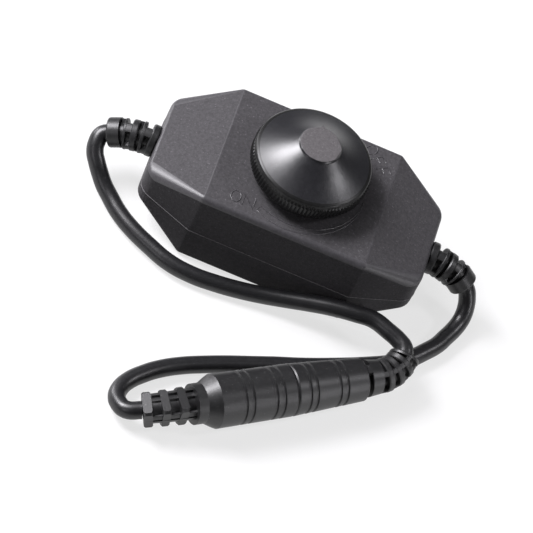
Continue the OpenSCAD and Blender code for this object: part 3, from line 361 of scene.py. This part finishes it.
def moulded(name, tone, dust_and_glint_tone, roughness, grain, grain_depth, dust_and_glint_level, specular):
    """Moulded plastic: a fine spark-eroded grain, uneven gloss, and specks that are partly dust
    and partly painted glints.
    """
    material, tree, shader, place = new_material(name)
    cloud = noise(tree, place, CLOUD_SCALE, CLOUD_DETAIL, -600, 300, CLOUD_ROUGHNESS)
    specks = noise(tree, place, SPECK_SCALE, FINE_DETAIL, -600, 50)
    # Specks of a lighter tone: partly dust, partly painted glints of the grain's sparkle
    dust_and_glint_share = ramp(tree, specks, dust_and_glint_level, dust_and_glint_level + SPECK_EDGE, 0, 1, -350, 50)
    shade = tint(tree, ramp(tree, cloud, CLOUD_FROM, CLOUD_TO, 0, 1, -350, 300),
        tuple(c * CLOUD_DARK for c in tone), tuple(c * CLOUD_LIGHT for c in tone), -100, 300)
    tree.links.new(tint(tree, dust_and_glint_share, shade, dust_and_glint_tone, 150, 200), shader.inputs["Base Color"])
    gloss = ramp(tree, cloud, GLOSS_FROM, GLOSS_TO, roughness - GLOSS_SPREAD,
        roughness + GLOSS_SPREAD, -100, -50)
    tree.links.new(gloss, shader.inputs["Roughness"])
    shader.inputs["Specular IOR Level"].default_value = specular
    bump(tree, shader, noise(tree, place, grain, FINE_DETAIL, -600, -200), 1, grain_depth)
    return material


def metal(name, tone, roughness):
    """Bare or plated metal with fine drawn marks."""
    material, tree, shader, place = new_material(name)
    spread = node_at(tree, "ShaderNodeMapping", -750, 0)
    spread.inputs["Scale"].default_value = (1, 1, SCRATCH_STRETCH)
    tree.links.new(place, spread.inputs["Vector"])
    marks = noise(tree, spread.outputs["Vector"], SCRATCH_SCALE, SCRATCH_DETAIL, -500, 0)
    cloud = noise(tree, place, TARNISH_SCALE, FINE_DETAIL, -500, 250)
    tree.links.new(tint(tree, cloud, tone, tuple(c * TARNISH for c in tone), 100, 200),
        shader.inputs["Base Color"])
    gloss = ramp(tree, marks, GLOSS_FROM, GLOSS_TO, roughness - SCRATCH_SMOOTHER,
        roughness + SCRATCH_ROUGHER, 100, 0)
    tree.links.new(gloss, shader.inputs["Roughness"])
    shader.inputs["Metallic"].default_value = 1
    bump(tree, shader, marks, SCRATCH_STRENGTH, SCRATCH_DEPTH)
    return material


finishes = {name: moulded(name, *values) for name, values in PLASTICS.items()}
finishes.update({name: metal(name, *values) for name, values in METALS.items()})


def paint(piece, *names):
    """Give a piece its finishes: its faces use the first unless they say another."""
    piece.data.materials.clear()
    for name in names:
        piece.data.materials.append(finishes[name])


for finish, node_names in FINISHES.items():
    for node_name in node_names:
        paint(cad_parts[node_name], finish)
paint(output_cord, "cord_black")
paint(input_cord, "cord_black")


# Outer shells: the frame's own shapes, joined up and given smooth moulded curves
def joined_copy(node):
    mesh = bmesh.new()
    mesh.from_mesh(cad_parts[node].data)
    bmesh.ops.remove_doubles(mesh, verts=mesh.verts, dist=JOIN_GAP * MM)
    return mesh


def cut_at(mesh, z):
    """Cut the faces at a height, and give back what lies on the cut."""
    return bmesh.ops.bisect_plane(mesh, geom=mesh.verts[:] + mesh.edges[:] + mesh.faces[:],
        plane_co=(0, 0, z * MM), plane_no=(0, 0, 1))["geom_cut"]


def smooth_object(name, mesh):
    data = bpy.data.meshes.new(name)
    mesh.to_mesh(data)
    mesh.free()
    data.shade_smooth()
    data.set_sharp_from_angle(angle=math.radians(SHARP_ANGLE))
    return add_object(name, data)


def moulded_skin(name, node, body, ring_z=None):
    mesh = joined_copy(node)
    bmesh.ops.dissolve_limit(mesh, angle_limit=math.radians(FLAT_ANGLE), verts=mesh.verts,
        edges=mesh.edges)
    if ring_z is not None:
        cut_at(mesh, ring_z)
    bmesh.ops.triangulate(mesh, faces=mesh.faces)
    skin = smooth_object(name, mesh)
    flat = skin.modifiers.new("flat faces stay flat", "WEIGHTED_NORMAL")
    flat.keep_sharp = True
    flat.weight = FLAT_WEIGHT
    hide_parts(node)
    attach(skin, body)
    return skin


top_skin = moulded_skin("top_cover_skin", "top_cover", "housing")
EDGE_SLOT = 1
paint(top_skin, "housing_black", "housing_edge")
knob_skin = moulded_skin("knob_skin", "knob", "dial", KNOB_BAND_TOP)
DISC_SLOT, RIM_SLOT = 1, 2
paint(knob_skin, "knob_black", "disc_grey", "rim_black")
for face in knob_skin.data.polygons:
    centre = face.center / MM
    if centre.z > KNOB_TOP - DISC_DEPTH and face.normal.z > DISC_UPWARD:
        face.material_index = DISC_SLOT
    elif centre.z < KNOB_BAND_TOP:
        face.material_index = RIM_SLOT

# The rounded upper edges are rubbed smoother than the grained faces between them
end_l = (BODY_L - FLAT_L) / 2
end_tilt = math.atan2(END_FALL, end_l)
side_turn = math.atan2((BODY_W - END_W) / 2, end_l)
flats = [Vector((0, 0, 1)), Vector((0, 0, -1))]
for side in (-1, 1):
    flats += [Vector((side * math.sin(end_tilt), 0, math.cos(end_tilt))),
        Vector((0, side, 0)), Vector((side, 0, 0))]
    flats += [Vector((side * math.sin(side_turn), other * math.cos(side_turn), 0))
        for other in (-1, 1)]
for face in top_skin.data.polygons:
    nearest = max(face.normal.dot(flat) for flat in flats)
    if face.normal.z > EDGE_UPWARD and nearest < math.cos(math.radians(EDGE_ANGLE)):
        face.material_index = EDGE_SLOT


# Marks moulded into the housing
def raised_line(name, lines, radius, closed, finish):
    """Fine half-sunk round lines: each is a list of points, closed or open."""
    curve = bpy.data.curves.new(name, "CURVE")
    curve.dimensions = "3D"
    curve.bevel_depth = radius * MM
    curve.bevel_resolution = LINE_ROUNDNESS
    curve.use_fill_caps = True
    for points, loops in zip(lines, closed):
        spline = curve.splines.new("POLY")
        spline.points.add(len(points) - 1)
        spline.use_cyclic_u = loops
        for knot, place in zip(spline.points, points):
            knot.co = (*(Vector(place) * MM), 1)
    sketch = add_object(name + "_sketch", curve)
    bpy.context.view_layer.update()
    data = bpy.data.meshes.new_from_object(sketch)
    data.name = name
    bpy.data.objects.remove(sketch)
    data.shade_smooth()
    line = add_object(name, data)
    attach(line, "housing")
    paint(line, finish)


def on_top(points):
    return [(x, y, BODY_H) for x, y in points]


def letter_o(centre):
    turns = [math.radians(degrees) for degrees in range(0, 360, LOOP_STEP)]
    return [(centre[0] + LETTER_W / 2 * math.cos(t), centre[1] + LETTER_H / 2 * math.sin(t))
        for t in turns]


letter_n = [(ON_N_LEFT, ON_FOOT), (ON_N_LEFT, ON_HEAD), (ON_N_RIGHT, ON_FOOT),
    (ON_N_RIGHT, ON_HEAD)]
raised_line("on_mark", [on_top(letter_o(ON_O_CENTRE)), on_top(letter_n)], STROKE_R,
    [True, False], "mark_black")


def turned_letter(lines, degrees):
    """Strokes of a letter that stands on a circle round the shaft, feet inwards."""
    out = Vector((math.cos(math.radians(degrees)), math.sin(math.radians(degrees))))
    along = Vector((out.y, -out.x))
    return [on_top([along * x + out * (OFF_R + y) for x, y in line]) for line in lines]


letter_f = [[(F_STEM, 0), (F_STEM, LETTER_H), (F_TOP_ARM, LETTER_H)],
    [(F_STEM, F_LOW_ARM_Y), (F_LOW_ARM, F_LOW_ARM_Y)]]
off_lines = turned_letter([letter_o((0, LETTER_H / 2))], OFF_O_AT)
off_loops = [True]
for turned in OFF_F_AT:
    off_lines += turned_letter(letter_f, turned)
    off_loops += [False, False]
raised_line("off_mark", off_lines, STROKE_R, off_loops, "mark_black")


def wedge_radius(degrees):
    """Outer side of the wedge line: wide at ON, running in towards OFF."""
    if degrees < WEDGE_WIDE_TO:
        return WEDGE_WIDE_R
    if degrees < WEDGE_MIDDLE_AT:
        share = (degrees - WEDGE_WIDE_TO) / (WEDGE_MIDDLE_AT - WEDGE_WIDE_TO)
        return WEDGE_WIDE_R - (WEDGE_WIDE_R - WEDGE_MIDDLE_R) * share
    share = (degrees - WEDGE_MIDDLE_AT) / -WEDGE_MIDDLE_AT
    return WEDGE_MIDDLE_R - (WEDGE_MIDDLE_R - WEDGE_INNER_R) * share


def on_circle(radius, degrees):
    return radius * math.cos(math.radians(degrees)), radius * math.sin(math.radians(degrees))


outer_side = [on_circle(wedge_radius(degrees), degrees) for degrees in WEDGE_TURNS]
inner_side = [on_circle(WEDGE_INNER_R, degrees) for degrees in reversed(WEDGE_TURNS)]
raised_line("level_mark", [on_top(outer_side + inner_side)], WEDGE_LINE_R, [True],
    "mark_black")


# Parting line of the two covers: the fine edge round the housing
def outside(place):
    """How far a point lies outside the housing's plan, below zero within it."""
    x, y = abs(place.x) / MM - FLAT_L / 2, abs(place.y) / MM - BODY_W / 2
    return max(y, x - end_l, x * math.sin(side_turn) + y * math.cos(side_turn))


def parting_line(side):
    """The outer edge at the seam on one side of the housing, from cord slot to cord slot."""
    mesh = joined_copy("top_cover")
    edges = [item for item in cut_at(mesh, SEAM_Z + BEAD_RISE)
        if isinstance(item, bmesh.types.BMEdge)]
    start = max((v for e in edges for v in e.verts), key=lambda v: side * v.co.y)
    walk, place, came = [], start, None
    while place is not None and (place is not start or not walk):
        walk.append(place.co.copy())
        onward = [e for e in edges if place in e.verts and e is not came]
        came = onward[0] if onward else None
        place = came.other_vert(place) if came else None
    mesh.free()
    inner = [i for i, place in enumerate(walk) if outside(place) < -SLOT_DEPTH * WALL]
    if inner:
        walk = walk[inner[-1] + 1:] + walk[:inner[0]]
    return [tuple(place / MM) for place in walk]


# The bead's lighter grey is a painted highlight along the seam, not the plastic's own colour
raised_line("parting_mark", [parting_line(-1), parting_line(1)], BEAD_R, [False, False],
    "parting_painted_highlight")


# Bridges that join the rings of the jack's strain relief, above and below as the
# camera sees them
def bridge_section(way, share):
    """Outline of a bridge across the relief, at a share of the relief's length."""
    start, along, turn = jack_relief_start()
    angle = math.radians(JACK_BEND) * share * BRIDGE_SHARE
    centre = bent_point(start, along, turn, bend_radius(JACK_RELIEF_L, JACK_BEND), angle)
    tangent = along * math.cos(angle) + turn * math.sin(angle)
    across = CAMERA_AHEAD.cross(tangent).normalized()
    front = tangent.cross(across)
    reach = BRIDGE_START_R + (BRIDGE_END_R - BRIDGE_START_R) * share
    if way < 0:
        reach -= LOWER_SETBACK
    turns = [math.radians(BRIDGE_HALF) * j / BRIDGE_SIDES
        for j in range(-BRIDGE_SIDES, BRIDGE_SIDES + 1)]
    ways = [across * way * math.cos(t) + front * math.sin(t) for t in turns]
    return ([centre + away * reach for away in ways]
        + [centre + away * (reach - BRIDGE_DEPTH) for away in reversed(ways)])


def make_bridges():
    mesh = bmesh.new()
    for way in (-1, 1):
        rows = [[mesh.verts.new(place * MM) for place in bridge_section(way, i / BRIDGE_STEPS)]
            for i in range(BRIDGE_STEPS + 1)]
        for row, onward in zip(rows, rows[1:]):
            for k in range(len(row)):
                mesh.faces.new((row[k - 1], row[k], onward[k], onward[k - 1]))
        mesh.faces.new(rows[0])
        mesh.faces.new(rows[-1])
    bmesh.ops.recalc_face_normals(mesh, faces=mesh.faces)
    bridges = smooth_object("jack_relief_bridges", mesh)
    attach(bridges, "housing")
    paint(bridges, "connector_black")


make_bridges()


# Floor, sky and lamps
def make_floor():
    """White paper: the camera and mirror rays see it as white, and it keeps the shadow."""
    mesh = bmesh.new()
    bmesh.ops.create_grid(mesh, x_segments=1, y_segments=1, size=FLOOR_HALF)
    data = bpy.data.meshes.new("floor")
    mesh.to_mesh(data)
    mesh.free()
    floor = add_object("floor", data)
    material, tree, shader, place = new_material("paper_white")
    fleck = noise(tree, place, FLECK_SCALE, FLECK_DETAIL, -500, 0)
    tree.links.new(tint(tree, fleck, (FLOOR_TONE_A,) * 3, (FLOOR_TONE_B,) * 3, 0, 0),
        shader.inputs["Base Color"])
    shader.inputs["Roughness"].default_value = FLOOR_ROUGHNESS
    shader.inputs["Specular IOR Level"].default_value = 0
    # Its own white, which fades out far from the part
    glow = node_at(tree, "ShaderNodeEmission", 600, 250)
    glow.inputs["Strength"].default_value = 1
    spread = node_at(tree, "ShaderNodeVectorMath", 0, 300)
    spread.operation = "LENGTH"
    tree.links.new(place, spread.inputs[0])
    fade = ramp(tree, spread.outputs["Value"], FADE_FROM, FADE_TO, 1, FADE_END, 250, 300)
    tree.links.new(tint(tree, fade, (0, 0, 0), (1, 1, 1), 400, 300), glow.inputs["Color"])
    seen = node_at(tree, "ShaderNodeMixShader", 800, 150)
    seen.inputs["Fac"].default_value = FLOOR_SHADOW
    tree.links.new(glow.outputs["Emission"], seen.inputs[1])
    tree.links.new(shader.outputs["BSDF"], seen.inputs[2])
    # What lights the part from below is much darker than what is seen
    dim = node_at(tree, "ShaderNodeBsdfDiffuse", 600, -400)
    dim.inputs["Color"].default_value = (FLOOR_BOUNCE, FLOOR_BOUNCE, FLOOR_BOUNCE, 1)
    path = node_at(tree, "ShaderNodeLightPath", 0, 500)
    seen_ray = path.outputs["Is Camera Ray"]
    for column, ray in enumerate(("Is Glossy Ray", "Is Transmission Ray")):
        either = node_at(tree, "ShaderNodeMath", 250 + 200 * column, 500)
        either.operation = "MAXIMUM"
        tree.links.new(seen_ray, either.inputs[0])
        tree.links.new(path.outputs[ray], either.inputs[1])
        seen_ray = either.outputs[0]
    shown = node_at(tree, "ShaderNodeMixShader", 1000, 0)
    tree.links.new(seen_ray, shown.inputs["Fac"])
    tree.links.new(dim.outputs["BSDF"], shown.inputs[1])
    tree.links.new(seen.outputs["Shader"], shown.inputs[2])
    output = next(node for node in tree.nodes if node.type == "OUTPUT_MATERIAL")
    output.location = (1200, 0)
    tree.links.new(shown.outputs["Shader"], output.inputs["Surface"])
    data.materials.append(material)


def make_world():
    world = bpy.data.worlds.new("studio")
    world.use_nodes = True
    sky = world.node_tree.nodes["Background"]
    sky.inputs["Color"].default_value = (1, 1, 1, 1)
    sky.inputs["Strength"].default_value = SKY_STRENGTH
    bpy.context.scene.world = world


def make_lamp(name, direction, distance, size, power):
    data = bpy.data.lights.new(name, "AREA")
    data.shape = "RECTANGLE"
    data.size, data.size_y = size
    data.energy = power
    data.color = LAMP_TINT
    lamp = add_object(name, data)
    away = Vector(direction).normalized()
    lamp.location = away * distance
    lamp.rotation_mode = "QUATERNION"
    lamp.rotation_quaternion = away.to_track_quat("Z", "Y")


make_floor()
make_world()
for lamp_values in LAMPS:
    make_lamp(*lamp_values)
bpy.context.scene.view_settings.view_transform = "Standard"

bpy.context.view_layer.update()
